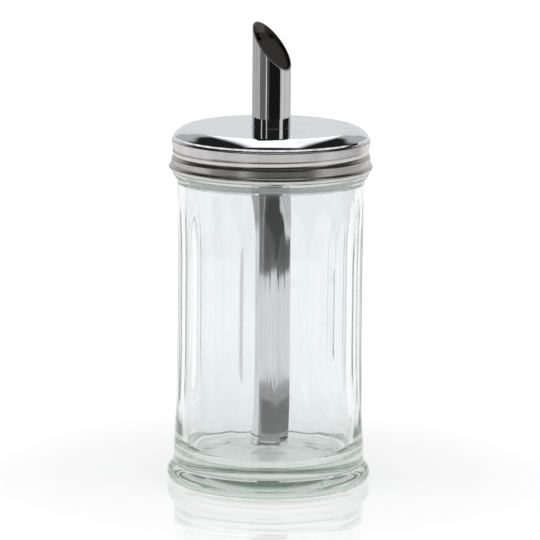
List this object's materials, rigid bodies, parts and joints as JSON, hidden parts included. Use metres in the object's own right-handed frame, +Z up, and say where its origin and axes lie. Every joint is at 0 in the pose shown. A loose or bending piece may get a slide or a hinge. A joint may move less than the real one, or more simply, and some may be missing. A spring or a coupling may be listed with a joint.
{
  "type": "sugar dispenser",
  "caption": "Tall fluted glass jar with a round steel screw cap and an upright pour tube whose slanted mouth is closed by a small swinging flap.",
  "frame": {"origin": "centre of the foot ring, on the surface that the jar stands on", "axes": "+Z up along the jar and the pour tube; +X towards the low side of the slanted mouth; the flap's pin lies along Y"},
  "size_m": [0.0754, 0.0754, 0.1714],
  "materials": {
    "jar_glass": "clear pressed glass, fire polished",
    "cap_steel": "polished stainless sheet with a satin side band",
    "tube_steel": "polished stainless tube",
    "flap_steel": "bright stainless sheet and wire",
    "seal_plastic": "soft moulded polyethylene"
  },
  "bodies": {
    "jar": {"glass_jar": "jar_glass"},
    "seal": {"cap_seal": "seal_plastic"},
    "cap": {"screw_cap": "cap_steel", "pour_tube": "tube_steel", "tube_collar": "tube_steel", "flap_pin": "flap_steel", "flap_stop": "flap_steel"},
    "flap": {"flap": "flap_steel"}
  },
  "joints": [
    {"name": "cap_lift_off", "type": "slide", "parent": "jar", "child": "seal", "axis": [0, 0, 1], "range_m": [0, 0.125]},
    {"name": "cap_unscrew", "type": "hinge", "parent": "seal", "child": "cap", "pos_m": [0, 0, 0.133], "axis": [0, 0, 1], "range_deg": [0, 360]},
    {"name": "flap_swing", "type": "hinge", "parent": "cap", "child": "flap", "pos_m": [-0.00455, 0, 0.16597], "axis": [0, -1, 0], "range_deg": [0, 95]}
  ]
}
